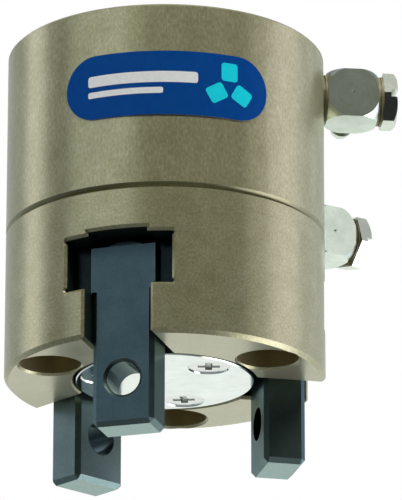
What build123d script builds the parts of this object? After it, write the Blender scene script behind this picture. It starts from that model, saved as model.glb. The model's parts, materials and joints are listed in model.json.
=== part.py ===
from build123d import *

import os
from math import asin, cos, degrees, radians, sqrt

# Three-finger pneumatic angular gripper with a 50 mm body, in millimetres, fingers down.
# The origin is the centre of the flat top face, which bolts to the robot arm, and +Z points out
# of it. Finger 1 is on the -Y side. Azimuths are degrees from there towards +X. Everything that
# repeats is built on the -Y side, where radial outwards is -Y, and is then turned to its azimuth.

# Body
BODY_R = 25.0
PARTING_Z = -30.0
BOTTOM_Z = -53.4
TOP_EDGE = 0.4
PARTING_EDGE_UPPER = 0.78
PARTING_EDGE_LOWER = 0.2
BOTTOM_EDGE = 0.64

# Fingers, their pivots and the swing from rest (plus opens)
FINGER_AZIMUTHS = [0, 120, 240]
FINGER_OUTER = 21.34
FINGER_INNER = 14.77
FINGER_HALF_WIDTH = 4.88
FINGER_CHAMFER = 0.72
FINGER_TIP_Z = BOTTOM_Z - 13.17
FINGER_STEP_Z = BOTTOM_Z + 8.24
FINGER_TOP_Z = BOTTOM_Z + 15.3
FINGER_HEAD_HALF_WIDTH = 5.1
FINGER_HOLE_R = 2.65
FINGER_HOLE_Z = BOTTOM_Z - 5.8
FINGER_HOLE_EDGE = 0.45
CROWN_R = 6.3
CROWN_TOP_Z = BOTTOM_Z + 16.3
CROWN_SETBACK = 1.0
PIVOT_RADIUS = 17.4
PIVOT_Z = BOTTOM_Z + 11.9
PIVOT_PIN_R = 1.5
PIVOT_CLEARANCE = 0.05
OPEN_ANGLE = 8.0
CLOSE_ANGLE = 2.0

# Inner arm of a finger, ending in a round nose in the groove of the drive spool
NOSE_RADIUS = 5.2
NOSE_R = 1.8
ARM_HALF_WIDTH = 2.5
NECK_HALF_HEIGHT = 1.4
ARM_HALF_HEIGHT = 2.8
NECK_OUTER = 7.8
ARM_SHOULDER = 10.8

# T-shaped finger slots of the lower housing
SLOT_HALF_WIDTH = 5.3
POCKET_HALF_WIDTH = 8.4
POCKET_LOW_Z = BOTTOM_Z + 8.05
POCKET_HIGH_Z = BOTTOM_Z + 16.35
POCKET_INNER = 15.0
NOTCH_HALF_WIDTH = 4.7
NOTCH_Z = BOTTOM_Z + 17.0
SLOT_EDGE = 0.45
RELIEF_R = 0.3

# Bearing blocks in the side pockets of the slots
BLOCK_OUTER = 19.8
BLOCK_INNER_FACE = 5.2
BLOCK_EDGE = 0.3

# End disc, its recess and its M3 countersunk screws
DISC_R = 13.85
DISC_THICKNESS = 3.0
DISC_EDGE = 0.15
DISC_RECESS_R = 14.4
DISC_RECESS_EDGE = 0.25
DISC_SCREW_RADIUS = 10.0
DISC_SCREW_OFFSET = 60.0
DISC_SCREW_LENGTH = 8.0
DISC_SCREW_HOLE_DEPTH = 10.0
COUNTERSINK_R = 3.3

# M5 mounting holes, right through the body, with counterbores in the bottom face
MOUNT_HOLE_RADIUS = 19.4
MOUNT_HOLE_OFFSET = 72.0
MOUNT_HOLE_R = 2.75
COUNTERBORE_R = 4.75
COUNTERBORE_DEPTH = 8.0
COUNTERBORE_EDGE = 0.35

# M3 screws that join the housings, with deep counterbores in the top face
JOIN_RADIUS = 20.5
JOIN_OFFSET = 42.0
JOIN_COUNTERBORE_R = 2.95
JOIN_COUNTERBORE_DEPTH = 13.4
JOIN_SCREW_LENGTH = 25.0
JOIN_HOLE_DEPTH = 10.0

# Screw sizes
M3_R = 1.45
M3_TAPPED_R = 1.5
M3_CLEAR_R = 1.7
M3_HEAD_R = 2.75
M3_HEAD_HEIGHT = 3.0
M3_SOCKET_ACROSS = 2.5
M3_SUNK_HEAD_R = 3.0
DISC_SCREW_HEAD_R = 3.1
RECESS_SPAN = 3.4
RECESS_WIDTH = 1.1
RECESS_CORE_R = 0.8
RECESS_DEPTH = 1.3
RECESS_TAPER = 14
RECESS_AZIMUTHS = [18, 12, 23]
M5_R = 2.45
M5_TAPPED_R = 2.5
CHAMFER_SINK = 0.2

# Cylinder and piston
BORE_R = 15.0
CHAMBER_TOP_Z = -4.0
CHAMBER_LOW_Z = -25.0
PISTON_R = BORE_R - 0.08
PISTON_TOP_Z = -6.6
PISTON_LOW_Z = -21.0
STOP_GAP = 0.05
STOP_INNER = 6.5
STOP_OUTER = 8.5
LOW_STOP_R = 7.0
SEAL_R = BORE_R - 0.02
SEAL_DEPTH = 2.4
SEAL_WIDTH = 2.6
SEAL_LIP = 0.5
UPPER_SEAL_Z = -9.9
LOWER_SEAL_Z = -17.7
GUIDE_RING_R = BORE_R - 0.04
GUIDE_RING_DEPTH = 1.2
GUIDE_RING_WIDTH = 3.2
GUIDE_RING_Z = -13.8
GUIDE_RING_SPLIT = 1.0
NUT_ACROSS = 8.0
NUT_HEIGHT = 4.0
NUT_CORNER_R = 4.4
NUT_POCKET_R = 5.2
NUT_LOW_Z = -11.2

# Piston rod, guide plate and their seals
ROD_R = 4.0
ROD_SHOULDER_Z = -19.0
ROD_STUB_PROUD = 0.6
ROD_THREAD_DEPTH = 8.0
ROD_CLEARANCE = 0.2
PLATE_SEAT_R = 15.6
PLATE_R = PLATE_SEAT_R - 0.02
PLATE_SPIGOT_R = 12.0
PLATE_SPIGOT_Z = PARTING_Z - 1.5
PLATE_GROOVE_R = 14.7
PLATE_GROOVE_WIDTH = 1.4
PLATE_GROOVE_Z = -27.5
ORING_R = 0.45
ROD_SEAL_R = 5.75
ROD_SEAL_HIGH_Z = -26.0
ROD_SEAL_LOW_Z = -28.2
ROD_SEAL_LIP = 0.4
BUSH_R = 5.0
BUSH_HIGH_Z = -28.7
BUSH_CLEARANCE = 0.03
SEAL_CLEARANCE = 0.02

# Drive spool
SPOOL_R = 7.0
SPOOL_ROOT_R = 3.1
SPOOL_GROOVE_HALF = NOSE_R + 0.08
SPOOL_FLANGE = 2.5
SPOOL_SOCKET_DEPTH = 1.0
SPOOL_SCREW_LENGTH = 14.0
SPOOL_SOCKET_ACROSS = 2.0
CAVITY_R = 7.6

# Badge on the upper housing
BADGE_AZIMUTH = 17.9
BADGE_HALF_ANGLE = 37.8
BADGE_LOW_Z = -18.4
BADGE_HIGH_Z = -7.95
BADGE_PROUD = 0.2
BADGE_SUNK = 0.2
BADGE_CUT_MARGIN = 5.0

# M5 banjo air fittings: azimuth, height and turn of the hexagon head
FITTINGS = {"upper": (113.0, -5.4, 0.0), "lower": (139.6, -23.85, 12.0)}
SPOT_FACE_RADIUS = 24.5
SPOT_FACE_R = 4.3
INNER_RING_THICKNESS = 1.0
OUTER_RING_THICKNESS = 0.9
RING_R = 3.95
RING_BORE_R = 2.6
RING_GROOVE = 0.3
BANJO_SIZE = 8.0
BANJO_SPHERE_R = 5.84
BANJO_BORE_R = 2.6
BANJO_CHAMBER_R = 3.1
BANJO_CHAMBER_HALF = 1.8
BANJO_DOT_R = 0.25
HEX_ACROSS = 8.0
HEX_THICKNESS = 2.2
HEX_CORNER_R = 4.35
HEX_TOP_SINK = 0.35
HEX_SLOT_WIDTH = 1.2
HEX_SLOT_DEPTH = 1.1
BARB_LENGTH = 9.4
BARB_STEM_R = 1.5
BARB_RIDGE_R = 2.0
BARB_COUNT = 3
BARB_BORE_R = 0.9
BARB_ROOT = 1.6
BARB_LAND = 0.25
BARB_EMBED = 1.0
PORT_INNER = 19.5
PORT_SCREW_INNER = 20.3
AIRWAY_R = 1.0
SCREW_WAIST_R = 1.8
SCREW_BORE_R = 1.1
SCREW_CROSS_R = 0.8


STANDING = (Align.CENTER, Align.CENTER, Align.MIN)


def upright(radius, low, high):
    """Cylinder about the Z axis between two heights."""
    return Pos(0, 0, low) * Cylinder(radius, high - low, align=STANDING)


def ring(outer, inner, low, high):
    """Plain ring about the Z axis between two heights."""
    return upright(outer, low, high) - upright(inner, low - 1, high + 1)


def block(half_width, inner, outer, low, high):
    """Box centred on the -Y side, between two distances from the axis and two heights."""
    size = Box(2 * half_width, outer - inner, high - low)
    return Pos(0, -(inner + outer) / 2, (low + high) / 2) * size


def radial_rod(radius, inner, outer, height, offset=0.0):
    """Cylinder pointing radially on the -Y side, between two distances from the axis."""
    return Pos(offset, -(inner + outer) / 2, height) * Rot(90, 0, 0) * Cylinder(radius, outer - inner)


def tangential_rod(radius, half_length, distance, height):
    """Cylinder along X on the -Y side, such as a pivot pin."""
    return Pos(0, -distance, height) * Rot(0, 90, 0) * Cylinder(radius, 2 * half_length)


def turned(azimuth, shape):
    """A shape from the -Y side, turned about Z to its azimuth."""
    return Rot(0, 0, azimuth) * shape


def at_radius(azimuth, radius, shape):
    """A shape about the Z axis, moved out to a radius on the -Y side and turned to its azimuth."""
    return turned(azimuth, Pos(0, -radius, 0) * shape)


def hexagon(across, low, high):
    """Hexagonal prism about Z, from its width across flats."""
    flat = RegularPolygon(across / 2, 6, major_radius=False)
    return Pos(0, 0, low) * extrude(flat, high - low)


def spun(points):
    """Solid of revolution about Z from (radius, height) points."""
    outline = make_face(Polyline([(r, 0, z) for r, z in points], close=True))
    return revolve(outline, Axis.Z)


def edges_where(shape, test):
    """Edges whose middle point passes a test of radius and height."""
    found = []
    for edge in shape.edges():
        middle = edge @ 0.5
        if test(sqrt(middle.X ** 2 + middle.Y ** 2), middle.Z, edge):
            found.append(edge)
    return found


def near(value, target, tolerance=0.01):
    return abs(value - target) < tolerance


def sink(radius, size, face_z, up=True):
    """45 degree edge break of a round hole, cut upwards from a face that looks down, or down."""
    low = face_z if up else face_z - size
    near_radius, far_radius = radius + size, radius
    if not up:
        near_radius, far_radius = far_radius, near_radius
    return Pos(0, 0, low) * Cone(near_radius, far_radius, size, align=STANDING)


def finger_slot():
    """Everything that one finger slot takes out of the lower housing, except its edge breaks."""
    narrow = block(SLOT_HALF_WIDTH, 0, BODY_R + 1, BOTTOM_Z - 1, POCKET_HIGH_Z)
    pocket = block(POCKET_HALF_WIDTH, POCKET_INNER, BODY_R + 1, POCKET_LOW_Z, POCKET_HIGH_Z)
    notch = block(NOTCH_HALF_WIDTH, 0, BODY_R + 1, POCKET_LOW_Z, NOTCH_Z)
    return narrow + pocket + notch


def slot_reliefs():
    """Small round reliefs in the outer corners of the two side pockets, each with an edge break."""
    reliefs = []
    surface = sqrt(BODY_R ** 2 - POCKET_HALF_WIDTH ** 2)
    edge = Cone(RELIEF_R, RELIEF_R + 2 * SLOT_EDGE, 2 * SLOT_EDGE, align=STANDING)
    for side in (-1, 1):
        for height in (POCKET_LOW_Z + RELIEF_R, POCKET_HIGH_Z - RELIEF_R):
            corner = side * POCKET_HALF_WIDTH
            relief = radial_rod(RELIEF_R, POCKET_INNER, BODY_R + 1, height, corner)
            relief += Pos(corner, SLOT_EDGE - surface, height) * Rot(90, 0, 0) * edge
            reliefs.append(relief)
    return reliefs


def slot_outline_edge(radius, height, edge):
    """True for an edge of a finger slot on the round outside or on the bottom face."""
    on_outside = near(radius, BODY_R, 0.02) and BOTTOM_Z < height < PARTING_Z - 1
    start, end = edge @ 0, edge @ 1
    flat_edge = near(start.Z, BOTTOM_Z) and near(end.Z, BOTTOM_Z)
    on_bottom = flat_edge and near(height, BOTTOM_Z) and DISC_RECESS_R < radius < BODY_R - 0.5
    return on_outside or on_bottom


def lower_housing():
    """Lower half: finger slots, drive cavity, disc recess and the mounting counterbores."""
    body = upright(BODY_R, BOTTOM_Z, PARTING_Z)
    body -= upright(CAVITY_R, BOTTOM_Z - 1, PARTING_Z + 1)
    body -= upright(PLATE_SPIGOT_R + SEAL_CLEARANCE, PLATE_SPIGOT_Z, PARTING_Z + 1)
    body -= upright(DISC_RECESS_R, BOTTOM_Z - 1, BOTTOM_Z + DISC_THICKNESS)
    for azimuth in FINGER_AZIMUTHS:
        body -= turned(azimuth, finger_slot())
    body = chamfer(edges_where(body, slot_outline_edge), SLOT_EDGE)
    edge_cone = Cone(BODY_R - BOTTOM_EDGE, BODY_R + 1, BOTTOM_EDGE + 1, align=STANDING)
    above_edge = upright(BODY_R + 1, BOTTOM_Z + BOTTOM_EDGE + 1, PARTING_Z)
    body &= (Pos(0, 0, BOTTOM_Z) * edge_cone) + above_edge
    body -= sink(DISC_RECESS_R, DISC_RECESS_EDGE, BOTTOM_Z)
    top_edge = edges_where(body, lambda r, z, e: near(z, PARTING_Z) and near(r, BODY_R))
    body = chamfer(top_edge, PARTING_EDGE_LOWER)
    disc_screw_hole = upright(M3_TAPPED_R, BOTTOM_Z, BOTTOM_Z + DISC_SCREW_HOLE_DEPTH)
    join_hole = upright(M3_TAPPED_R, PARTING_Z - JOIN_HOLE_DEPTH, PARTING_Z + 1)
    mount_hole = upright(MOUNT_HOLE_R, BOTTOM_Z - 1, PARTING_Z + 1)
    mount_hole += upright(COUNTERBORE_R, BOTTOM_Z - 1, BOTTOM_Z + COUNTERBORE_DEPTH)
    mount_hole += sink(COUNTERBORE_R, COUNTERBORE_EDGE, BOTTOM_Z)
    for azimuth in FINGER_AZIMUTHS:
        for relief in slot_reliefs():
            body -= turned(azimuth, relief)
        body -= at_radius(azimuth + DISC_SCREW_OFFSET, DISC_SCREW_RADIUS, disc_screw_hole)
        body -= at_radius(azimuth + JOIN_OFFSET, JOIN_RADIUS, join_hole)
        body -= at_radius(azimuth + MOUNT_HOLE_OFFSET, MOUNT_HOLE_RADIUS, mount_hole)
    return body


def join_screw_hole():
    """Clearance hole and deep counterbore of a joining screw, about its own axis."""
    hole = upright(M3_CLEAR_R, PARTING_Z - 1, 1)
    return hole + upright(JOIN_COUNTERBORE_R, -JOIN_COUNTERBORE_DEPTH, 1)


def badge_outline():
    """Stadium that wraps round the body: a sector of its height with a radial round at each end."""
    end_r = (BADGE_HIGH_Z - BADGE_LOW_Z) / 2
    middle_z = (BADGE_HIGH_Z + BADGE_LOW_Z) / 2
    end_angle = BADGE_HALF_ANGLE - degrees(asin(end_r / BODY_R))
    reach = BODY_R + BADGE_CUT_MARGIN
    corner = reach / cos(radians(end_angle))
    sides = [turned(side * end_angle, Pos(0, -corner, 0)).position for side in (-1, 1)]
    wedge = make_face(Polyline([(0, 0), (sides[0].X, sides[0].Y), (sides[1].X, sides[1].Y)], close=True))
    outline = Pos(0, 0, BADGE_LOW_Z) * extrude(wedge, BADGE_HIGH_Z - BADGE_LOW_Z)
    for side in (-1, 1):
        outline += turned(side * end_angle, radial_rod(end_r, BODY_R - BADGE_CUT_MARGIN, reach, middle_z))
    return outline


def badge():
    """Thin curved badge plate, set slightly into the housing."""
    shell = ring(BODY_R + BADGE_PROUD, BODY_R - BADGE_SUNK, BADGE_LOW_Z, BADGE_HIGH_Z)
    return turned(BADGE_AZIMUTH, shell & badge_outline())


def air_port(height):
    """Tapped port with its flat spot face and the airway into the cylinder."""
    port = radial_rod(M5_TAPPED_R, PORT_INNER, BODY_R + 1, height)
    port += radial_rod(SPOT_FACE_R, SPOT_FACE_RADIUS, BODY_R + 1, height)
    return port + radial_rod(AIRWAY_R, BORE_R - 1, PORT_INNER + 1, height)


def upper_housing():
    """Upper half: blind cylinder bore, guide plate seat, air ports and badge recess."""
    body = upright(BODY_R, PARTING_Z, 0)
    body -= upright(BORE_R, PARTING_Z - 1, CHAMBER_TOP_Z)
    body -= upright(PLATE_SEAT_R, PARTING_Z - 1, CHAMBER_LOW_Z)
    body = chamfer(edges_where(body, lambda r, z, e: near(z, 0)), TOP_EDGE)
    lower_edge = edges_where(body, lambda r, z, e: near(z, PARTING_Z) and near(r, BODY_R))
    body = chamfer(lower_edge, PARTING_EDGE_UPPER)
    mount_hole = upright(MOUNT_HOLE_R, PARTING_Z - 1, 1) + sink(MOUNT_HOLE_R, COUNTERBORE_EDGE, 0, up=False)
    for azimuth in FINGER_AZIMUTHS:
        body -= at_radius(azimuth + JOIN_OFFSET, JOIN_RADIUS, join_screw_hole())
        body -= at_radius(azimuth + MOUNT_HOLE_OFFSET, MOUNT_HOLE_RADIUS, mount_hole)
    for azimuth, height, _ in FITTINGS.values():
        body -= turned(azimuth, air_port(height))
    return body - badge()


def join_screw():
    """M3 socket cap screw about its own axis, head up in the upper housing."""
    seat = -JOIN_COUNTERBORE_DEPTH
    screw = upright(M3_HEAD_R, seat, seat + M3_HEAD_HEIGHT)
    screw = chamfer(edges_where(screw, lambda r, z, e: near(z, seat + M3_HEAD_HEIGHT)), CHAMFER_SINK)
    screw += upright(M3_R, seat - JOIN_SCREW_LENGTH, seat)
    return screw - hexagon(M3_SOCKET_ACROSS, seat + M3_HEAD_HEIGHT / 2, seat + M3_HEAD_HEIGHT + 1)


def cross_recess(face_z):
    """Tapered cross recess cut upwards into a screw head that looks down."""
    recess = upright(RECESS_CORE_R, face_z - 1, face_z + RECESS_DEPTH)
    for size in ((RECESS_SPAN, RECESS_WIDTH), (RECESS_WIDTH, RECESS_SPAN)):
        bar = extrude(Rectangle(*size), RECESS_DEPTH, taper=RECESS_TAPER)
        recess += Pos(0, 0, face_z) * bar
    return recess


def disc_screw(recess_turn):
    """M3 countersunk cross-recess screw about its own axis, head down in the end disc."""
    face = BOTTOM_Z + COUNTERSINK_R - DISC_SCREW_HEAD_R
    cone_height = DISC_SCREW_HEAD_R - M3_R
    screw = Pos(0, 0, face) * Cone(DISC_SCREW_HEAD_R, M3_R, cone_height, align=STANDING)
    screw += upright(M3_R, face + cone_height, face + DISC_SCREW_LENGTH)
    return screw - turned(recess_turn, cross_recess(face))


def disc_screws():
    """The three screws of the end disc, each left with its recess at another angle."""
    screws = []
    for azimuth, recess_azimuth in zip(FINGER_AZIMUTHS, RECESS_AZIMUTHS):
        place = azimuth + DISC_SCREW_OFFSET
        screws.append(at_radius(place, DISC_SCREW_RADIUS, disc_screw(recess_azimuth - place)))
    return Compound(children=screws)


def end_disc():
    """Polished disc that closes the drive cavity from below."""
    disc = upright(DISC_R, BOTTOM_Z, BOTTOM_Z + DISC_THICKNESS)
    disc = chamfer(disc.edges(), DISC_EDGE)
    hole = upright(M3_CLEAR_R, BOTTOM_Z - 1, BOTTOM_Z + DISC_THICKNESS + 1)
    hole += sink(M3_CLEAR_R, COUNTERSINK_R - M3_CLEAR_R, BOTTOM_Z)
    for azimuth in FINGER_AZIMUTHS:
        disc -= at_radius(azimuth + DISC_SCREW_OFFSET, DISC_SCREW_RADIUS, hole)
    return disc


def pivot_blocks():
    """The two bearing blocks of one finger, one in each side pocket of its slot."""
    blocks = []
    half_width = (POCKET_HALF_WIDTH - BLOCK_INNER_FACE) / 2
    middle = (POCKET_HALF_WIDTH + BLOCK_INNER_FACE) / 2
    body = block(half_width, POCKET_INNER, BLOCK_OUTER, POCKET_LOW_Z, POCKET_HIGH_Z)
    front = [edge for edge in body.edges() if near((edge @ 0.5).Y, -BLOCK_OUTER)]
    body = chamfer(front, BLOCK_EDGE)
    for side in (-1, 1):
        blocks.append(Pos(side * middle, 0, 0) * body - pivot_rod(PIVOT_PIN_R))
    return blocks


def pivot_rod(radius):
    """Cylinder along the pivot axis of a finger, as long as the slot is wide."""
    return tangential_rod(radius, POCKET_HALF_WIDTH, PIVOT_RADIUS, PIVOT_Z)


def finger_bar():
    """Outer bar of a finger, chamfered all round below the step, with its M5 clearance hole."""
    bar = block(FINGER_HALF_WIDTH, FINGER_INNER, FINGER_OUTER, FINGER_TIP_Z, FINGER_STEP_Z)
    broken = [edge for edge in bar.edges() if not near((edge @ 0.5).Z, FINGER_STEP_Z)]
    bar = chamfer(broken, FINGER_CHAMFER)
    bar -= radial_rod(FINGER_HOLE_R, FINGER_INNER - 1, FINGER_OUTER + 1, FINGER_HOLE_Z)
    edge = Cone(FINGER_HOLE_R + FINGER_HOLE_EDGE, FINGER_HOLE_R, FINGER_HOLE_EDGE, align=STANDING)
    return bar - Pos(0, -FINGER_OUTER, FINGER_HOLE_Z) * Rot(-90, 0, 0) * edge


def finger_arm():
    """Inner arm: a slim neck that thickens towards the pivot, with a round nose at its end."""
    upper = [
        (NOSE_RADIUS, NECK_HALF_HEIGHT),
        (NECK_OUTER, NECK_HALF_HEIGHT),
        (ARM_SHOULDER, ARM_HALF_HEIGHT),
        (FINGER_INNER + 1, ARM_HALF_HEIGHT),
    ]
    side_points = upper + [(distance, -height) for distance, height in reversed(upper)]
    side = make_face(Polyline([(0, -r, PIVOT_Z + h) for r, h in side_points], close=True))
    arm = extrude(side, ARM_HALF_WIDTH, both=True, dir=(1, 0, 0))
    return arm + tangential_rod(NOSE_R, ARM_HALF_WIDTH, NOSE_RADIUS, PIVOT_Z)


def finger():
    """Bell crank: outer bar, head on the pivot pin with a low round crown, and inner arm."""
    crown_outer = FINGER_OUTER - CROWN_SETBACK
    head = block(FINGER_HEAD_HALF_WIDTH, FINGER_INNER, FINGER_OUTER, FINGER_STEP_Z, FINGER_TOP_Z)
    crown = radial_rod(CROWN_R, FINGER_INNER, crown_outer, CROWN_TOP_Z - CROWN_R)
    crown &= block(FINGER_HEAD_HALF_WIDTH, FINGER_INNER, crown_outer, FINGER_STEP_Z, CROWN_TOP_Z)
    body = finger_bar() + head + crown + finger_arm()
    return body - pivot_rod(PIVOT_PIN_R + PIVOT_CLEARANCE)


def piston():
    """Piston with seal grooves, nut pocket, rod pocket and a raised stop on each face."""
    close_travel = (PIVOT_RADIUS - NOSE_RADIUS) * radians(CLOSE_ANGLE)
    open_travel = (PIVOT_RADIUS - NOSE_RADIUS) * radians(OPEN_ANGLE)
    low_stop_z = CHAMBER_LOW_Z + open_travel + STOP_GAP
    body = upright(PISTON_R, PISTON_LOW_Z, PISTON_TOP_Z)
    body = chamfer(body.edges(), CHAMFER_SINK)
    body += ring(STOP_OUTER, STOP_INNER, PISTON_TOP_Z - 1, CHAMBER_TOP_Z - close_travel - STOP_GAP)
    body += upright(LOW_STOP_R, low_stop_z, PISTON_LOW_Z + 1)
    for height in (UPPER_SEAL_Z, LOWER_SEAL_Z):
        body -= piston_groove(PISTON_R - SEAL_DEPTH, SEAL_WIDTH, height)
    body -= piston_groove(PISTON_R - GUIDE_RING_DEPTH, GUIDE_RING_WIDTH, GUIDE_RING_Z)
    body -= upright(NUT_POCKET_R, NUT_LOW_Z, 0)
    body -= upright(M5_TAPPED_R, ROD_SHOULDER_Z - 1, 0)
    return body - upright(ROD_R, PARTING_Z, ROD_SHOULDER_Z)


def piston_groove(root_radius, width, height):
    """Ring that cuts a groove round the piston, centred on a height."""
    return ring(BORE_R + 1, root_radius, height - width / 2, height + width / 2)


def piston_seal(height, lip_up):
    """Lip seal in a piston groove, with its hollow side towards the pressure."""
    root = PISTON_R - SEAL_DEPTH
    half = SEAL_WIDTH / 2
    lip = half if lip_up else -half
    middle = (root + SEAL_R) / 2
    outline = [
        (root, height - lip),
        (SEAL_R, height - lip),
        (SEAL_R, height + lip),
        (SEAL_R - SEAL_LIP, height + lip),
        (middle, height),
        (root + SEAL_LIP, height + lip),
        (root, height + lip),
    ]
    return spun(outline)


def piston_guide_ring():
    """Split guide ring between the two piston seals."""
    root = PISTON_R - GUIDE_RING_DEPTH
    low = GUIDE_RING_Z - GUIDE_RING_WIDTH / 2
    high = low + GUIDE_RING_WIDTH
    split = block(GUIDE_RING_SPLIT / 2, root - 1, BORE_R + 1, low - 1, high + 1)
    return ring(GUIDE_RING_R, root, low, high) - split


def piston_rod():
    """Rod with an M5 stub through the piston, tapped M3 at its lower end for the spool."""
    low = spool_top() - SPOOL_SOCKET_DEPTH
    rod = upright(ROD_R, low, ROD_SHOULDER_Z)
    rod = chamfer(rod.edges(), CHAMFER_SINK)
    rod += upright(M5_R, ROD_SHOULDER_Z, NUT_LOW_Z + NUT_HEIGHT + ROD_STUB_PROUD)
    return rod - upright(M3_TAPPED_R, low - 1, low + ROD_THREAD_DEPTH)


def piston_nut():
    """M5 nut in the pocket on top of the piston."""
    nut = hexagon(NUT_ACROSS, NUT_LOW_Z, NUT_LOW_Z + NUT_HEIGHT)
    nut &= upright(NUT_CORNER_R, NUT_LOW_Z, NUT_LOW_Z + NUT_HEIGHT)
    return nut - upright(M5_TAPPED_R, NUT_LOW_Z - 1, 0)


def spool_top():
    """Height of the top of the drive spool at rest."""
    return PIVOT_Z + SPOOL_GROOVE_HALF + SPOOL_FLANGE


def spool_bottom():
    """Height of the bottom of the drive spool at rest."""
    return PIVOT_Z - SPOOL_GROOVE_HALF - SPOOL_FLANGE


def drive_spool():
    """Spool on the rod end, whose groove carries the noses of the three fingers."""
    low = spool_bottom()
    spool = upright(SPOOL_R, low, spool_top())
    spool = chamfer(spool.edges(), CHAMFER_SINK)
    groove_low = PIVOT_Z - SPOOL_GROOVE_HALF
    groove_high = PIVOT_Z + SPOOL_GROOVE_HALF
    spool -= ring(SPOOL_R + 1, SPOOL_ROOT_R, groove_low, groove_high)
    spool -= upright(ROD_R, spool_top() - SPOOL_SOCKET_DEPTH, spool_top() + 1)
    spool -= upright(M3_TAPPED_R, low - 1, spool_top())
    return spool - sink(M3_TAPPED_R, M3_SUNK_HEAD_R - M3_TAPPED_R, low)


def spool_screw():
    """M3 countersunk screw that holds the spool on the rod."""
    low = spool_bottom()
    cone_height = M3_SUNK_HEAD_R - M3_R
    screw = Pos(0, 0, low) * Cone(M3_SUNK_HEAD_R, M3_R, cone_height, align=STANDING)
    screw += upright(M3_R, low + cone_height, low + SPOOL_SCREW_LENGTH)
    return screw - hexagon(SPOOL_SOCKET_ACROSS, low - 1, low + cone_height)


def guide_plate():
    """Plate that closes the cylinder, centres both housings and guides the rod."""
    plate = upright(PLATE_R, PARTING_Z, CHAMBER_LOW_Z)
    plate += upright(PLATE_SPIGOT_R, PLATE_SPIGOT_Z, PARTING_Z)
    groove_half = PLATE_GROOVE_WIDTH / 2
    groove = ring(PLATE_R + 1, PLATE_GROOVE_R, PLATE_GROOVE_Z - groove_half, PLATE_GROOVE_Z + groove_half)
    plate -= groove
    plate -= upright(ROD_R + ROD_CLEARANCE, PLATE_SPIGOT_Z - 1, CHAMBER_LOW_Z + 1)
    plate -= upright(ROD_SEAL_R, ROD_SEAL_LOW_Z, ROD_SEAL_HIGH_Z)
    return plate - upright(BUSH_R, PLATE_SPIGOT_Z - 1, BUSH_HIGH_Z)


def plate_oring():
    """O-ring in the rim of the guide plate."""
    return Pos(0, 0, PLATE_GROOVE_Z) * Torus(PLATE_GROOVE_R + ORING_R, ORING_R)


def rod_bush():
    """Plain bush that guides the rod."""
    return ring(BUSH_R, ROD_R + BUSH_CLEARANCE, PLATE_SPIGOT_Z, BUSH_HIGH_Z)


def rod_seal():
    """Lip seal on the rod, hollow side up towards the cylinder."""
    bore = ROD_R + SEAL_CLEARANCE
    middle_z = (ROD_SEAL_LOW_Z + ROD_SEAL_HIGH_Z) / 2
    outline = [
        (bore, ROD_SEAL_LOW_Z),
        (ROD_SEAL_R, ROD_SEAL_LOW_Z),
        (ROD_SEAL_R, ROD_SEAL_HIGH_Z),
        (ROD_SEAL_R - ROD_SEAL_LIP, ROD_SEAL_HIGH_Z),
        ((bore + ROD_SEAL_R) / 2, middle_z),
        (bore + ROD_SEAL_LIP, ROD_SEAL_HIGH_Z),
        (bore, ROD_SEAL_HIGH_Z),
    ]
    return spun(outline)


def fitting_seal(inner_face, thickness, height):
    """Sealing ring of an air fitting, with a shallow groove round its rim."""
    washer = radial_rod(RING_R, inner_face, inner_face + thickness, height)
    washer -= radial_rod(RING_BORE_R, inner_face - 1, inner_face + thickness + 1, height)
    middle = inner_face + thickness / 2
    groove = radial_rod(RING_R + 1, middle - RING_GROOVE / 2, middle + RING_GROOVE / 2, height)
    groove -= radial_rod(RING_R - RING_GROOVE, inner_face - 1, inner_face + thickness + 1, height)
    return washer - groove


def hose_barb():
    """Barbed hose nozzle along X, starting at the origin, with its bore."""
    pitch = (BARB_LENGTH - BARB_ROOT) / BARB_COUNT
    outline = [(BARB_BORE_R, -BARB_EMBED), (BARB_STEM_R, -BARB_EMBED), (BARB_STEM_R, BARB_ROOT)]
    for index in range(BARB_COUNT):
        start = BARB_ROOT + index * pitch
        outline.append((BARB_RIDGE_R, start))
        outline.append((BARB_RIDGE_R, start + BARB_LAND))
        outline.append((BARB_STEM_R, start + pitch))
    outline.append((BARB_BORE_R, BARB_LENGTH))
    return Rot(0, 90, 0) * spun(outline)


def banjo_body(height):
    """Ring piece of an air fitting: a cube with turned corners, and a hose barb on its far side."""
    half = BANJO_SIZE / 2
    centre = SPOT_FACE_RADIUS + INNER_RING_THICKNESS + half
    body = Box(BANJO_SIZE, BANJO_SIZE, BANJO_SIZE) & Sphere(BANJO_SPHERE_R)
    body -= Pos(-half, 0, 0) * Rot(0, 90, 0) * Cone(BANJO_DOT_R, 0, BANJO_DOT_R, align=STANDING)
    body += Pos(half, 0, 0) * hose_barb()
    body -= Rot(90, 0, 0) * Cylinder(BANJO_BORE_R, BANJO_SIZE + 1)
    body -= Rot(90, 0, 0) * Cylinder(BANJO_CHAMBER_R, 2 * BANJO_CHAMBER_HALF)
    body -= Rot(0, 90, 0) * Cylinder(BARB_BORE_R, half + BARB_LENGTH + 1, align=STANDING)
    return Pos(0, -centre, height) * body


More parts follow.
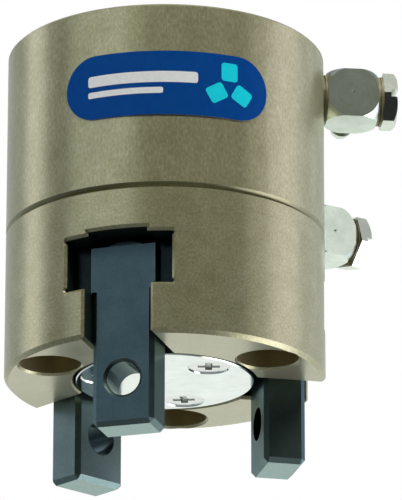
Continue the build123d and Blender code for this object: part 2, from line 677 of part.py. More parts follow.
def banjo_screw(height, turn):
    """Hollow M5 screw of an air fitting, with a slotted hexagon head."""
    seat = SPOT_FACE_RADIUS + INNER_RING_THICKNESS + BANJO_SIZE + OUTER_RING_THICKNESS
    centre = SPOT_FACE_RADIUS + INNER_RING_THICKNESS + BANJO_SIZE / 2
    head = hexagon(HEX_ACROSS, seat, seat + HEX_THICKNESS)
    head &= hexagon_crown(seat)
    slot = Box(2 * HEX_CORNER_R + 1, HEX_SLOT_WIDTH, HEX_SLOT_DEPTH, align=STANDING)
    head -= Pos(0, 0, seat + HEX_THICKNESS - HEX_SLOT_DEPTH) * slot
    screw = Rot(0, 0, turn) * head
    screw += upright(M5_R, PORT_SCREW_INNER, seat)
    waist = ring(M5_R + 1, SCREW_WAIST_R, centre - BANJO_CHAMBER_HALF, centre + BANJO_CHAMBER_HALF)
    screw -= waist
    screw -= upright(SCREW_BORE_R, PORT_SCREW_INNER - 1, centre + SCREW_CROSS_R)
    screw -= Pos(0, 0, centre) * Rot(0, 90, 0) * Cylinder(SCREW_CROSS_R, BANJO_SIZE)
    return Pos(0, 0, height) * Rot(90, 0, 0) * screw


def hexagon_crown(seat):
    """Cone that turns the corners off the outer face of a hexagon head."""
    straight = upright(HEX_CORNER_R + 1, seat, seat + HEX_THICKNESS / 2)
    crown_r = HEX_CORNER_R + HEX_THICKNESS / 2
    cone = Cone(crown_r, HEX_CORNER_R - HEX_TOP_SINK, HEX_THICKNESS / 2, align=STANDING)
    return straight + Pos(0, 0, seat + HEX_THICKNESS / 2) * cone


def join_screws():
    """The three screws that join the housings."""
    places = [azimuth + JOIN_OFFSET for azimuth in FINGER_AZIMUTHS]
    return Compound(children=[at_radius(place, JOIN_RADIUS, join_screw()) for place in places])


def save(name, shape):
    export_step(shape, f"parts/{name}.step")


def main():
    os.makedirs("parts", exist_ok=True)
    save("upper_housing", upper_housing())
    save("lower_housing", lower_housing())
    save("housing_screws", join_screws())
    save("badge", badge())
    save("end_disc", end_disc())
    save("disc_screws", disc_screws())
    for number, azimuth in enumerate(FINGER_AZIMUTHS, start=1):
        save(f"finger_{number}", turned(azimuth, finger()))
        save(f"pivot_pin_{number}", turned(azimuth, pivot_rod(PIVOT_PIN_R)))
        blocks = [turned(azimuth, piece) for piece in pivot_blocks()]
        save(f"pivot_blocks_{number}", Compound(children=blocks))
    save("piston", piston())
    save("piston_seal_upper", piston_seal(UPPER_SEAL_Z, lip_up=True))
    save("piston_seal_lower", piston_seal(LOWER_SEAL_Z, lip_up=False))
    save("piston_guide_ring", piston_guide_ring())
    save("piston_rod", piston_rod())
    save("piston_nut", piston_nut())
    save("drive_spool", drive_spool())
    save("spool_screw", spool_screw())
    save("guide_plate", guide_plate())
    save("plate_oring", plate_oring())
    save("rod_bush", rod_bush())
    save("rod_seal", rod_seal())
    outer_seal_face = SPOT_FACE_RADIUS + INNER_RING_THICKNESS + BANJO_SIZE
    for name, (azimuth, height, turn) in FITTINGS.items():
        inner_seal = fitting_seal(SPOT_FACE_RADIUS, INNER_RING_THICKNESS, height)
        outer_seal = fitting_seal(outer_seal_face, OUTER_RING_THICKNESS, height)
        save(f"{name}_fitting_inner_seal", turned(azimuth, inner_seal))
        save(f"{name}_fitting_outer_seal", turned(azimuth, outer_seal))
        save(f"{name}_fitting_body", turned(azimuth, banjo_body(height)))
        save(f"{name}_fitting_screw", turned(azimuth, banjo_screw(height, turn)))


main()
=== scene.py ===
import json
from math import cos, radians, sin

import bmesh
import bpy
from mathutils import Matrix, Vector


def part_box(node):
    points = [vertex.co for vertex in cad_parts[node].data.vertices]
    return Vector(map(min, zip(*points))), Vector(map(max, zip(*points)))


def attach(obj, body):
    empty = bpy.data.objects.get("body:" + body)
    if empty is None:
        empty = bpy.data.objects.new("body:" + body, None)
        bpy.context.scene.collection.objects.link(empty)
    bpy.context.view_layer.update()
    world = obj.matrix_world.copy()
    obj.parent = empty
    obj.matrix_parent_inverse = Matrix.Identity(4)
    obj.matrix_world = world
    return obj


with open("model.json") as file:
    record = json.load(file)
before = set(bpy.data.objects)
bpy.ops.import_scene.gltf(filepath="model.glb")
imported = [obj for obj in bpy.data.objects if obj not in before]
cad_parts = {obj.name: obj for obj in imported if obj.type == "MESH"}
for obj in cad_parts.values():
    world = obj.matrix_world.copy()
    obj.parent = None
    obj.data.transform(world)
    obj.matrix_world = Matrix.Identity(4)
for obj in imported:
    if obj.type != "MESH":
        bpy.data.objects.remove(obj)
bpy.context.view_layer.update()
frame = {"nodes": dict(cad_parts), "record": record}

MM = 0.001
nodes = frame["nodes"]

# ---------------------------------------------------------------- places taken from the frame

upper_low, upper_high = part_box("upper_housing")
BODY_RADIUS = (upper_high.x - upper_low.x) / 2
lower_low, lower_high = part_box("lower_housing")
BOTTOM_Z = lower_low.z
PARTING_Z = lower_high.z
FINGER_TIP_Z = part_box("finger_1")[0].z
badge_low, badge_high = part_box("badge")
BADGE_RADIUS = max(Vector((v.co.x, v.co.y)).length for v in nodes["badge"].data.vertices)
BADGE_MIDDLE_Z = (badge_low.z + badge_high.z) / 2
# Angle of the badge's middle about the gripper's axis, from finger 1 towards the air fittings.
BADGE_AZIMUTH = radians(17.9)
mounts = {mount["name"]: mount for mount in frame["record"]["mounts"]}
NUMBERS = (1, 2, 3)

# ---------------------------------------------------------------- camera

# The camera stands off to the right of finger 1 and looks up at the gripper from below. It turns by
# tilt, pan and roll, in radians, from a level view at the gripper's axis.
CAMERA_AZIMUTH = radians(17.5)
CAMERA_BACK = 756.7 * MM
CAMERA_DROP = 296.9 * MM
CAMERA_TILT = 0.3372
CAMERA_PAN = 0.0074
CAMERA_ROLL = 0.0010
LENS_MM = 368.1
SENSOR_MM = 36
CLIP_START = 0.05


def make_camera():
    data = bpy.data.cameras.new("camera")
    data.lens = LENS_MM
    data.sensor_width = SENSOR_MM
    data.clip_start = CLIP_START
    camera = bpy.data.objects.new("camera", data)
    bpy.context.scene.collection.objects.link(camera)
    level = Vector((sin(CAMERA_PAN), cos(CAMERA_PAN), 0))
    forward = cos(CAMERA_TILT) * level + Vector((0, 0, sin(CAMERA_TILT)))
    right = Vector((cos(CAMERA_PAN), -sin(CAMERA_PAN), 0))
    up = right.cross(forward)
    rolled_right = cos(CAMERA_ROLL) * right + sin(CAMERA_ROLL) * up
    rolled_up = cos(CAMERA_ROLL) * up - sin(CAMERA_ROLL) * right
    place = Matrix.Identity(4)
    for row in range(3):
        place[row][0] = rolled_right[row]
        place[row][1] = rolled_up[row]
        place[row][2] = -forward[row]
    place[1][3] = -CAMERA_BACK
    place[2][3] = -CAMERA_DROP
    camera.matrix_world = Matrix.Rotation(CAMERA_AZIMUTH, 4, "Z") @ place
    bpy.context.scene.camera = camera


make_camera()
bpy.context.scene.view_settings.view_transform = "Standard"

# ---------------------------------------------------------------- studio

FLOOR_Z = -1.5
FLOOR_RADIUS = 1.1
FLOOR_SEGMENTS = 96

# Each softbox: name, azimuth and elevation in degrees as stage_direction takes them, distance, width
# and height in metres, power in watts, and colour.
WHITE = (1.0, 1.0, 1.0)
SOFTBOXES = [
    ("right_softbox", 94, -11, 0.9, 0.60, 1.7, 4.3, (1.0, 0.96, 1.16)),
    ("right_back_softbox", 126, -11, 0.9, 0.44, 1.7, 1.0, (0.97, 1.0, 1.10)),
    ("right_low_softbox", 100, -46, 0.9, 0.50, 0.50, 1.9, (1.0, 0.98, 0.98)),
    ("right_card", 66.3, 19.4, 0.9, 0.09, 0.16, 0.072, WHITE),
    ("right_high_card", 83, 47, 0.9, 0.30, 0.30, 0.16, WHITE),
    ("left_strip", -108, 10, 0.9, 0.31, 1.0, 1.6, (1.0, 0.99, 1.12)),
    ("left_front_softbox", -48, 24, 1.1, 0.92, 0.8, 1.86, (0.92, 0.99, 1.12)),
    ("top_softbox", 6, 55, 0.7, 0.9, 0.30, 5.0, (1.0, 0.98, 0.88)),
    ("overhead_card", 0, 88, 0.7, 0.8, 0.5, 0.65, WHITE),
]


def stage_direction(azimuth, elevation):
    """Unit vector from the gripper. Azimuth 0 points at the camera and plus is to its right."""
    turn = radians(azimuth) + CAMERA_AZIMUTH
    rise = radians(elevation)
    return Vector((sin(turn) * cos(rise), -cos(turn) * cos(rise), sin(rise)))


def softbox(name, azimuth, elevation, distance, width, height, power, colour):
    """Rectangular area light that faces the middle of the gripper."""
    data = bpy.data.lights.new(name, "AREA")
    data.shape = "RECTANGLE"
    data.size = width
    data.size_y = height
    data.energy = power
    data.color = colour
    light = bpy.data.objects.new(name, data)
    bpy.context.scene.collection.objects.link(light)
    middle = Vector((0, 0, BOTTOM_Z / 2))
    direction = stage_direction(azimuth, elevation)
    light.location = middle + direction * distance
    light.rotation_euler = direction.to_track_quat("Z", "Y").to_euler()


def make_floor():
    mesh = bpy.data.meshes.new("floor")
    shape = bmesh.new()
    bmesh.ops.create_circle(shape, cap_ends=True, segments=FLOOR_SEGMENTS, radius=FLOOR_RADIUS)
    shape.to_mesh(mesh)
    shape.free()
    floor = bpy.data.objects.new("floor", mesh)
    floor.location = (0, 0, FLOOR_Z)
    bpy.context.scene.collection.objects.link(floor)
    return floor


floor = make_floor()
for box in SOFTBOXES:
    softbox(*box)


# The surround's light, from 0 on the camera's side to 1 at WORLD_BRIGHTEST, which is an azimuth and an
# elevation in degrees.
WORLD_BRIGHTEST = (180, -15)
WORLD_STOPS = [
    (0.30, (0.018, 0.020, 0.020)),
    (0.62, (0.19, 0.21, 0.235)),
    (0.73, (0.27, 0.30, 0.33)),
    (0.80, (0.46, 0.50, 0.54)),
    (0.86, (0.56, 0.61, 0.65)),
    (0.97, (0.97, 1.00, 0.97)),
]


def make_world():
    """Pale surround: white behind the gripper, darker to the sides and towards the camera."""
    world = bpy.data.worlds.new("studio")
    bpy.context.scene.world = world
    world.use_nodes = True
    tree = world.node_tree
    tree.nodes.clear()
    output = tree.nodes.new("ShaderNodeOutputWorld")
    mix = tree.nodes.new("ShaderNodeMixShader")
    path = tree.nodes.new("ShaderNodeLightPath")
    lit = tree.nodes.new("ShaderNodeBackground")
    seen = tree.nodes.new("ShaderNodeBackground")
    seen.inputs["Color"].default_value = (1, 1, 1, 1)
    seen.inputs["Strength"].default_value = 1.0
    coordinate = tree.nodes.new("ShaderNodeTexCoord")
    dot = tree.nodes.new("ShaderNodeVectorMath")
    dot.operation = "DOT_PRODUCT"
    dot.inputs[1].default_value = stage_direction(*WORLD_BRIGHTEST)
    ramp = tree.nodes.new("ShaderNodeValToRGB")
    while len(ramp.color_ramp.elements) < len(WORLD_STOPS):
        ramp.color_ramp.elements.new(0.5)
    for element, (position, colour) in zip(ramp.color_ramp.elements, WORLD_STOPS):
        element.position = position
        element.color = (*colour, 1)
    half = tree.nodes.new("ShaderNodeMath")
    half.operation = "MULTIPLY_ADD"
    half.inputs[1].default_value = 0.5
    half.inputs[2].default_value = 0.5
    link = tree.links.new
    link(coordinate.outputs["Generated"], dot.inputs[0])
    link(dot.outputs["Value"], half.inputs[0])
    link(half.outputs[0], ramp.inputs["Fac"])
    link(ramp.outputs["Color"], lit.inputs["Color"])
    link(path.outputs["Is Camera Ray"], mix.inputs["Fac"])
    link(lit.outputs[0], mix.inputs[1])
    link(seen.outputs[0], mix.inputs[2])
    link(mix.outputs[0], output.inputs["Surface"])


make_world()

# ---------------------------------------------------------------- materials


class Material:
    """A node material with its Principled shader and short calls for the nodes around it."""

    def __init__(self, name, **constants):
        self.data = bpy.data.materials.new(name)
        self.data.use_nodes = True
        self.tree = self.data.node_tree
        self.shader = self.tree.nodes["Principled BSDF"]
        for socket, value in constants.items():
            self.shader.inputs[socket.replace("_", " ")].default_value = value
        self.place = self.tree.nodes.new("ShaderNodeTexCoord").outputs["Object"]

    def node(self, kind, **settings):
        made = self.tree.nodes.new("ShaderNode" + kind)
        for key, value in settings.items():
            setattr(made, key, value)
        return made

    def link(self, source, target):
        self.tree.links.new(source, target)

    def math(self, operation, a, b=None, c=None, clamp=False):
        made = self.node("Math", operation=operation, use_clamp=clamp)
        for index, value in enumerate((a, b, c)):
            if isinstance(value, (int, float)):
                made.inputs[index].default_value = value
            elif value is not None:
                self.link(value, made.inputs[index])
        return made.outputs[0]

    def scaled(self, vector, scale):
        """The vector with each axis multiplied, so that a texture stretches along the small one."""
        made = self.node("Mapping")
        made.inputs["Scale"].default_value = scale
        self.link(vector, made.inputs["Vector"])
        return made.outputs[0]

    def round_place(self):
        """Angle about the gripper's axis in metres of arc on the body, height and radius."""
        split = self.node("SeparateXYZ")
        self.link(self.place, split.inputs[0])
        angle = self.math("ARCTAN2", split.outputs["X"], self.math("MULTIPLY", split.outputs["Y"], -1.0))
        arc = self.math("MULTIPLY", angle, BODY_RADIUS)
        joined = self.node("CombineXYZ")
        self.link(arc, joined.inputs[0])
        self.link(split.outputs["Z"], joined.inputs[1])
        self.link(self.length(self.flat_place()), joined.inputs[2])
        return joined.outputs[0]

    def vector_math(self, operation, a, b=None):
        made = self.node("VectorMath", operation=operation)
        for index, value in enumerate((a, b)):
            if isinstance(value, (tuple, Vector)):
                made.inputs[index].default_value = value
            elif value is not None:
                self.link(value, made.inputs[index])
        return made.outputs["Value" if operation in ("DOT_PRODUCT", "LENGTH") else "Vector"]

    def length(self, vector):
        return self.vector_math("LENGTH", vector)

    def flat_place(self):
        """Place with its height taken out."""
        return self.vector_math("MULTIPLY", self.place, (1, 1, 0))

    def height(self):
        split = self.node("SeparateXYZ")
        self.link(self.place, split.inputs[0])
        return split.outputs["Z"]

    def normal(self):
        return self.node("NewGeometry").outputs["Normal"]

    def facing_up(self):
        """1 where the surface faces up, 0 on upright walls and -1 where it faces down."""
        return self.vector_math("DOT_PRODUCT", self.normal(), (0, 0, 1))

    def facing_down(self, threshold, soft):
        """1 on faces that look down, 0 elsewhere."""
        return self.over(self.math("MULTIPLY", self.facing_up(), -1.0), threshold, soft)

    def facing_out(self):
        """1 where the surface faces away from the gripper's axis, 0 where it faces up or down and -1
        where it faces the axis."""
        outwards = self.vector_math("NORMALIZE", self.flat_place())
        return self.vector_math("DOT_PRODUCT", self.normal(), outwards)

    def off_axis(self, origin, axis):
        """Distance from a line."""
        arm = self.vector_math("SUBTRACT", self.place, origin)
        return self.length(self.vector_math("CROSS_PRODUCT", arm, axis))

    def near_axes(self, mount_name, radius):
        """1 within a radius of the axes of three numbered mounts, 0 elsewhere."""
        near = None
        for number in NUMBERS:
            hole = mounts[mount_name.format(number)]
            away = self.off_axis(Vector(hole["pos_m"]), Vector(hole["axis"]))
            inside = self.math("SUBTRACT", 1.0, self.over(away, radius, HOLE_SOFT))
            near = inside if near is None else self.math("MAXIMUM", near, inside)
        return near

    def over(self, value, threshold, soft):
        """0 below the threshold and 1 above it, with a soft step."""
        made = self.node("MapRange", interpolation_type="SMOOTHSTEP")
        made.inputs["From Min"].default_value = threshold - soft
        made.inputs["From Max"].default_value = threshold + soft
        self.link(value, made.inputs["Value"])
        return made.outputs["Result"]

    def noise(self, vector, scale, detail, roughness):
        """Noise from 0 to 1, with its scale per metre."""
        made = self.node("TexNoise")
        made.inputs["Scale"].default_value = scale
        made.inputs["Detail"].default_value = detail
        made.inputs["Roughness"].default_value = roughness
        self.link(vector, made.inputs["Vector"])
        return made.outputs["Fac"]

    def ramp(self, factor, stops):
        """Colour by the factor, from stops of position and colour."""
        made = self.node("ValToRGB")
        ramp = made.color_ramp
        while len(ramp.elements) < len(stops):
            ramp.elements.new(0.5)
        for element, (position, colour) in zip(ramp.elements, stops):
            element.position = position
            element.color = (*colour, 1)
        self.link(factor, made.inputs["Fac"])
        return made.outputs["Color"]

    def spread(self, factor, low, high):
        """The factor from 0 to 1 mapped to a range."""
        made = self.node("MapRange")
        made.inputs["To Min"].default_value = low
        made.inputs["To Max"].default_value = high
        self.link(factor, made.inputs["Value"])
        return made.outputs["Result"]

    def bump(self, height, distance, strength):
        """Raise the surface by the height, which is 1 at most, times the distance."""
        made = self.node("Bump")
        made.inputs["Distance"].default_value = distance
        made.inputs["Strength"].default_value = strength
        self.link(height, made.inputs["Height"])
        self.link(made.outputs["Normal"], self.shader.inputs["Normal"])

    def edge_mask(self, radius, gain):
        """About 1 on sharp outer edges and 0 on flats, from how far a bevel turns the normal."""
        bevel = self.node("Bevel", samples=6)
        bevel.inputs["Radius"].default_value = radius
        turn = self.math("SUBTRACT", 1.0, self.vector_math("DOT_PRODUCT", bevel.outputs[0], self.normal()))
        return self.math("MULTIPLY", turn, gain, clamp=True)

    def blend(self, factor, a, b):
        """Colour a where the factor is 0 and b where it is 1."""
        made = self.node("Mix", data_type="RGBA")
        self.link(factor, made.inputs["Factor"])
        for value, socket in ((a, made.inputs["A"]), (b, made.inputs["B"])):
            if isinstance(value, tuple):
                socket.default_value = (*value, 1)
            else:
                self.link(value, socket)
        return made.outputs["Result"]


# Reach of the masks that pick out a slot, a hole, a finger tip or a chamfer.
SLOT_HALF_WIDTH = 8.9 * MM
SLOT_EDGE = 0.5 * MM
SLOT_TURN = radians(60)
COUNTERBORE_RADIUS = 4.9 * MM
FINGER_BORE_RADIUS = 2.75 * MM
TIP_DEPTH = 0.2 * MM
UPPER_CHAMFER = 0.76 * MM
LOWER_CHAMFER = 0.2 * MM
# Half the width of the soft step at the edge of each mask.
SLOT_SIDE_SOFT = 0.1 * MM
SLOT_EDGE_SOFT = 0.08 * MM
HOLE_SOFT = 0.06 * MM
COUNTERBORE_EDGE_SOFT = 0.3 * MM
CHAMFER_SOFT = 0.03 * MM
# How far a face may tilt and still count as level.
LEVEL = 0.9
LEVEL_SOFT = 0.05


def anodised(name, streaks):
    """Champagne hard-anodised aluminium. The upper housing has short upright streaks, and the lower
    one an even grain. Slot walls and joint chamfers have painted shade, faces that look down painted
    light, and the counterbores a brown tint."""
    m = Material(name, Metallic=0.6)
    level = m.over(m.math("ABSOLUTE", m.facing_up()), LEVEL, LEVEL_SOFT)
    place = m.blend(level, m.round_place(), m.place)
    grain = m.noise(m.scaled(place, (1, 0.4 if streaks else 0.8, 1)), 3000, 3, 0.7)
    cloud = m.noise(m.scaled(place, (1, 0.5 if streaks else 1, 1)), 420, 4, 0.6)
    mixed = m.math("ADD", m.math("MULTIPLY", grain, 0.7), m.math("MULTIPLY", cloud, 0.3))
    tones = [(0.36, (0.33, 0.32, 0.175)), (0.50, (0.42, 0.41, 0.24)), (0.64, (0.53, 0.52, 0.34))]
    colour = m.ramp(mixed, tones)
    # Painted light: faces that look down are lightened, as if lit from below.
    colour = m.blend(m.math("MULTIPLY", m.facing_down(0.95, 0.03), 0.5), colour, (0.60, 0.59, 0.44))
    # Painted shade: the chamfers at the joint between the two housings are darkened.
    colour = m.blend(m.math("MULTIPLY", parting_groove(m), 0.6), colour, (0.16, 0.155, 0.085))
    if not streaks:
        # Painted shade: the walls inside the finger slots are darkened to a deep teal.
        colour = m.blend(slot_inside(m), colour, (0.055, 0.095, 0.090))
        colour = m.blend(hole_inside(m), colour, (0.44, 0.38, 0.20))
    edge = m.edge_mask(0.05 * MM, 2.0)
    m.link(m.blend(edge, colour, (0.52, 0.50, 0.40)), m.shader.inputs["Base Color"])
    m.link(m.spread(mixed, 0.24, 0.38), m.shader.inputs["Roughness"])
    m.bump(grain, 0.014 * MM, 0.3)
    return m.data


def parting_groove(m):
    """1 on the chamfers along the joint between the two housings, where shade is painted dark, 0 elsewhere.
    """
    above_joint = m.over(m.height(), PARTING_Z - LOWER_CHAMFER, CHAMFER_SOFT)
    above_chamfer = m.over(m.height(), PARTING_Z + UPPER_CHAMFER, CHAMFER_SOFT)
    return m.math("SUBTRACT", above_joint, above_chamfer)


def slot_inside(m):
    """1 on the walls inside the three finger slots of the lower housing, which are painted dark as shade, 0
    elsewhere.
    """
    split = m.node("SeparateXYZ")
    m.link(m.round_place(), split.inputs[0])
    arc, height, radius = split.outputs
    angle = m.math("WRAP", m.math("DIVIDE", arc, BODY_RADIUS), SLOT_TURN, -SLOT_TURN)
    across = m.math("ABSOLUTE", m.math("MULTIPLY", m.math("SINE", angle), radius))
    beside = m.over(across, SLOT_HALF_WIDTH, SLOT_SIDE_SOFT)
    outside = m.over(radius, BODY_RADIUS - SLOT_EDGE, SLOT_EDGE_SOFT)
    above = m.over(height, BOTTOM_Z + SLOT_EDGE, SLOT_EDGE_SOFT)
    in_slot = m.math("MULTIPLY", m.math("SUBTRACT", 1.0, beside), m.math("SUBTRACT", 1.0, outside))
    return m.math("MULTIPLY", in_slot, above)


def hole_inside(m):
    """1 inside the three counterbores of the lower housing, 0 elsewhere."""
    inside = m.near_axes("mounting_hole_{}", COUNTERBORE_RADIUS)
    above = m.over(m.height(), BOTTOM_Z + SLOT_EDGE, COUNTERBORE_EDGE_SOFT)
    return m.math("MULTIPLY", inside, above)


def black_steel(name):
    """Blackened steel of the fingers: dark, with a hard blue sheen and bright worn edges. The sides
    and the gripping face are ground brighter than the outer face, and the bore is painted darkest as shade."""
    m = Material(name, Metallic=0.95, Specular_Tint=(0.85, 0.95, 0.92, 1))
    grain = m.noise(m.place, 2600, 3, 0.7)
    cloud = m.noise(m.place, 260, 4, 0.6)
    mixed = m.math("ADD", m.math("MULTIPLY", grain, 0.5), m.math("MULTIPLY", cloud, 0.5))
    outer = m.ramp(mixed, [(0.36, (0.054, 0.092, 0.104)), (0.64, (0.075, 0.120, 0.135))])
    ground = m.ramp(mixed, [(0.36, (0.112, 0.166, 0.158)), (0.64, (0.150, 0.214, 0.204))])
    colour = m.blend(m.over(m.facing_out(), 0.75, 0.1), ground, outer)
    bore = m.near_axes("finger_{}_bore", FINGER_BORE_RADIUS)
    # Painted shade: the finger bore is darkened.
    colour = m.blend(bore, colour, (0.034, 0.056, 0.058))
    above_tip = m.over(m.height(), FINGER_TIP_Z + TIP_DEPTH, TIP_DEPTH / 2)
    tip = m.math("MULTIPLY", m.facing_down(LEVEL, LEVEL_SOFT), m.math("SUBTRACT", 1.0, above_tip))
    worn = m.ramp(grain, [(0.36, (0.28, 0.36, 0.345)), (0.64, (0.37, 0.46, 0.44))])
    edge = m.edge_mask(0.08 * MM, 4.0)
    dulled = m.blend(edge, m.blend(tip, colour, worn), (0.28, 0.35, 0.35))
    m.link(dulled, m.shader.inputs["Base Color"])
    reamed = m.math("MULTIPLY", bore, 0.16)
    m.link(m.math("SUBTRACT", m.spread(grain, 0.32, 0.42), reamed), m.shader.inputs["Roughness"])
    m.bump(grain, 0.006 * MM, 0.25)
    return m.data


def block_steel(name):
    """Oiled black steel of the bearing blocks, deep in the slots."""
    m = Material(name, Metallic=0.6, Specular_IOR_Level=0.25)
    grain = m.noise(m.place, 2200, 3, 0.6)
    colour = m.ramp(grain, [(0.36, (0.002, 0.008, 0.008)), (0.64, (0.006, 0.018, 0.017))])
    m.link(colour, m.shader.inputs["Base Color"])
    m.link(m.spread(grain, 0.16, 0.3), m.shader.inputs["Roughness"])
    m.bump(grain, 0.008 * MM, 0.3)
    return m.data


def turned_nickel(name, origin, axis, rough):
    """Nickel-plated brass with fine turning rings about an axis."""
    m = Material(name, Metallic=1.0)
    away = m.off_axis(origin, axis)
    rings = m.node("TexNoise", noise_dimensions="1D")
    rings.inputs["Scale"].default_value = 14000
    rings.inputs["Detail"].default_value = 2
    m.link(away, rings.inputs["W"])
    cloud = m.noise(m.place, 330, 4, 0.65)
    mixed = m.math("ADD", m.math("MULTIPLY", rings.outputs["Fac"], 0.2), m.math("MULTIPLY", cloud, 0.8))
    colour = m.ramp(mixed, [(0.36, (0.57, 0.65, 0.55)), (0.64, (0.71, 0.79, 0.69))])
    m.link(colour, m.shader.inputs["Base Color"])
    m.link(m.spread(rings.outputs["Fac"], rough - 0.04, rough + 0.04), m.shader.inputs["Roughness"])
    m.bump(rings.outputs["Fac"], 0.004 * MM, 0.25)
    return m.data


def bright_metal(name, colour_low, colour_high, rough_low, rough_high, stretch=(1, 1, 1)):
    """Plain bright metal with fine machining marks stretched along one axis."""
    m = Material(name, Metallic=1.0)
    grain = m.noise(m.scaled(m.place, stretch), 2400, 3, 0.6)
    cloud = m.noise(m.place, 300, 4, 0.6)
    m.link(m.ramp(cloud, [(0.3, colour_low), (0.7, colour_high)]), m.shader.inputs["Base Color"])
    m.link(m.spread(grain, rough_low, rough_high), m.shader.inputs["Roughness"])
    m.bump(grain, 0.006 * MM, 0.3)
    return m.data


def soft_material(name, colour_low, colour_high, rough):
    """Rubber or plastic with a fine mottle."""
    m = Material(name)
    mottle = m.noise(m.place, 1800, 4, 0.6)
    m.link(m.ramp(mottle, [(0.3, colour_low), (0.7, colour_high)]), m.shader.inputs["Base Color"])
    m.link(m.spread(mottle, rough - 0.08, rough + 0.08), m.shader.inputs["Roughness"])
    m.bump(mottle, 0.01 * MM, 0.3)
    return m.data


def badge_enamel(name):
    """Blue printed badge under clear lacquer, with a slight orange-peel."""
    m = Material(name, Specular_IOR_Level=0.06)
    peel = m.noise(m.place, 900, 3, 0.5)
    blue = m.ramp(peel, [(0.3, (0.0, 0.060, 0.29)), (0.7, (0.0, 0.070, 0.33))])
    face = m.over(m.facing_out(), 0.5, 0.2)
    m.link(m.blend(face, (0.62, 0.61, 0.56), blue), m.shader.inputs["Base Color"])
    m.link(m.math("SUBTRACT", 1.0, face), m.shader.inputs["Metallic"])
    m.link(m.spread(peel, 0.38, 0.5), m.shader.inputs["Roughness"])
    m.bump(peel, 0.006 * MM, 0.25)
    return m.data


INK_DULLING = 0.94


def print_ink(name, colour):
    """Flat printing ink with a faint mottle."""
    m = Material(name, Specular_IOR_Level=0.2)
    mottle = m.noise(m.place, 2400, 3, 0.6)
    dull = tuple(INK_DULLING * part for part in colour)
    m.link(m.ramp(mottle, [(0.35, dull), (0.6, colour)]), m.shader.inputs["Base Color"])
    m.link(m.spread(mottle, 0.4, 0.55), m.shader.inputs["Roughness"])
    return m.data


def floor_finish(name):
    """Pale matt paper with a faint mottle."""
    m = Material(name)
    mottle = m.noise(m.place, 30, 4, 0.6)
    colour = m.ramp(mottle, [(0.3, (0.78, 0.78, 0.77)), (0.7, (0.82, 0.82, 0.81))])
    m.link(colour, m.shader.inputs["Base Color"])
    m.link(m.spread(mottle, 0.55, 0.7), m.shader.inputs["Roughness"])
    return m.data


upper_finish = anodised("anodised_streaked", True)
lower_finish = anodised("anodised_blasted", False)
finger_finish = black_steel("blackened_steel")
nickel = bright_metal("nickel_plate", (0.60, 0.65, 0.56), (0.71, 0.76, 0.67), 0.16, 0.30)
disc_finish = bright_metal("polished_disc", (0.74, 0.79, 0.75), (0.85, 0.90, 0.86), 0.10, 0.18, (1, 0.1, 1))
screw_finish = bright_metal("bright_screw", (0.68, 0.70, 0.66), (0.80, 0.82, 0.78), 0.14, 0.28)
dark_screw = bright_metal("black_screw", (0.05, 0.05, 0.05), (0.09, 0.09, 0.09), 0.30, 0.45)
ground = bright_metal("ground_steel", (0.50, 0.51, 0.52), (0.62, 0.63, 0.64), 0.18, 0.30, (1, 1, 4))
turned = bright_metal("turned_aluminium", (0.70, 0.70, 0.69), (0.80, 0.80, 0.79), 0.22, 0.36, (1, 1, 6))
bronze = bright_metal("bearing_bronze", (0.50, 0.32, 0.13), (0.62, 0.42, 0.18), 0.25, 0.40)
rubber = soft_material("seal_rubber", (0.012, 0.012, 0.012), (0.022, 0.022, 0.022), 0.55)
ring_seal = soft_material("olive_seal_ring", (0.24, 0.22, 0.12), (0.36, 0.33, 0.19), 0.42)
guide_plastic = soft_material("guide_ring_plastic", (0.60, 0.56, 0.45), (0.70, 0.66, 0.55), 0.5)
badge_finish = badge_enamel("badge_blue")
white_ink = print_ink("white_ink", (0.93, 0.96, 0.98))
cyan_ink = print_ink("cyan_ink", (0.0, 0.78, 0.95))
block_finish = block_steel("oiled_black_steel")
floor.data.materials.append(floor_finish("pale_floor"))

FINISH_BY_SLOT = {
    "housing_anodised": lower_finish,
    "black_steel": finger_finish,
    "polished_steel": disc_finish,
    "screw_steel": screw_finish,
    "dark_screw_steel": dark_screw,
    "nickel_brass": nickel,
    "fitting_seal": ring_seal,
    "badge_blue": badge_finish,
    "seal_rubber": rubber,
    "guide_plastic": guide_plastic,
    "bronze": bronze,
    "turned_aluminium": turned,
    "ground_steel": ground,
}


def finish_node(name, material):
    slots = nodes[name].material_slots
    if not slots:
        nodes[name].data.materials.append(material)
    for slot in slots:
        slot.material = material


# The upper ring piece is duller than the lower one.
FITTING_ROUGHNESS = {"upper": 0.29, "lower": 0.18}

for subpart in frame["record"]["subparts"]:
    finish_node(subpart["node"], FINISH_BY_SLOT[subpart["material_slot"]])
finish_node("upper_housing", upper_finish)
for number in NUMBERS:
    finish_node(f"pivot_blocks_{number}", block_finish)
for side, rough in FITTING_ROUGHNESS.items():
    nozzle = mounts[f"{side}_air_nozzle"]
    origin, axis = Vector(nozzle["pos_m"]), Vector(nozzle["axis"])
    ringed = turned_nickel(f"{side}_turned_nickel", origin, axis, rough)
    finish_node(f"{side}_fitting_body", ringed)

# ---------------------------------------------------------------- badge print

PRINT_LIFT = 0.02 * MM
PRINT_DEPTH = 0.06 * MM
PRINT_STEP = 0.5 * MM
CORNER_STEPS = 4


def rounded_bar(length, height, corner, turn, centre):
    """Outline of a bar with round corners, turned about the origin and then moved."""
    outline = []
    for quarter, (side, rise) in enumerate(((1, 1), (-1, 1), (-1, -1), (1, -1))):
        middle = (side * (length / 2 - corner), rise * (height / 2 - corner))
        for step in range(CORNER_STEPS + 1):
            angle = radians(90 * (quarter + step / CORNER_STEPS))
            outline.append((middle[0] + corner * cos(angle), middle[1] + corner * sin(angle)))
    turned = [(x * cos(turn) - y * sin(turn), x * sin(turn) + y * cos(turn)) for x, y in outline]
    return [(x + centre[0], y + centre[1]) for x, y in turned]


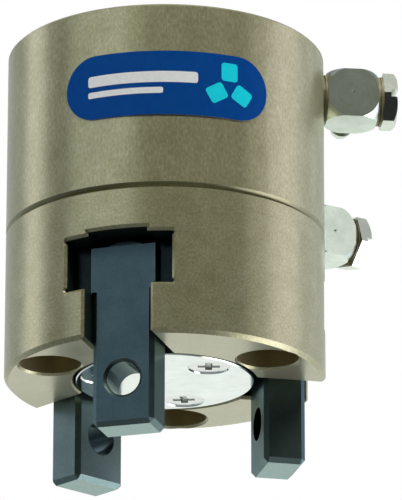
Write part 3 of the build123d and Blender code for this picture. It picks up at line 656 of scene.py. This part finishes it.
def printed(name, outlines, ink):
    """Thin curved pieces on the badge, from flat outlines in metres along and up the badge."""
    shape = bmesh.new()
    for outline in outlines:
        shape.faces.new([shape.verts.new((x, 0, z)) for x, z in outline])
    left = min(v.co.x for v in shape.verts)
    right = max(v.co.x for v in shape.verts)
    cut = left + PRINT_STEP
    while cut < right:
        everything = shape.verts[:] + shape.edges[:] + shape.faces[:]
        bmesh.ops.bisect_plane(shape, geom=everything, plane_co=(cut, 0, 0), plane_no=(1, 0, 0))
        cut += PRINT_STEP
    solid = bmesh.ops.extrude_face_region(shape, geom=shape.faces[:])
    backs = {v for v in solid["geom"] if isinstance(v, bmesh.types.BMVert)}
    for vertex in shape.verts:
        radius = BADGE_RADIUS + PRINT_LIFT - (PRINT_DEPTH if vertex in backs else 0)
        angle = BADGE_AZIMUTH + vertex.co.x / BADGE_RADIUS
        vertex.co = (radius * sin(angle), -radius * cos(angle), BADGE_MIDDLE_Z + vertex.co.z)
    bmesh.ops.recalc_face_normals(shape, faces=shape.faces)
    mesh = bpy.data.meshes.new(name)
    shape.to_mesh(mesh)
    shape.free()
    piece = bpy.data.objects.new(name, mesh)
    bpy.context.scene.collection.objects.link(piece)
    mesh.materials.append(ink)
    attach(piece, "housing")


# Length, height, corner radius and middle of each bar, along and up the badge.
BARS = [
    (17.4 * MM, 1.8 * MM, 0.4 * MM, (-3.9 * MM, 0.95 * MM)),
    (12.0 * MM, 1.0 * MM, 0.3 * MM, (-6.6 * MM, -1.25 * MM)),
]
bars = [rounded_bar(length, height, corner, 0.0, middle) for length, height, corner, middle in BARS]
printed("badge_bars", bars, white_ink)

PICTOGRAM_X = 9.9 * MM
JAW_REACH = 2.4 * MM
JAW_LENGTH = 3.0 * MM
JAW_WIDTH = 2.7 * MM
JAW_CORNER = 0.5 * MM
jaws = []
for degrees in (90, 210, 330):
    turn = radians(degrees)
    middle = (PICTOGRAM_X + JAW_REACH * cos(turn), JAW_REACH * sin(turn))
    jaws.append(rounded_bar(JAW_LENGTH, JAW_WIDTH, JAW_CORNER, turn, middle))
printed("badge_jaws", jaws, cyan_ink)
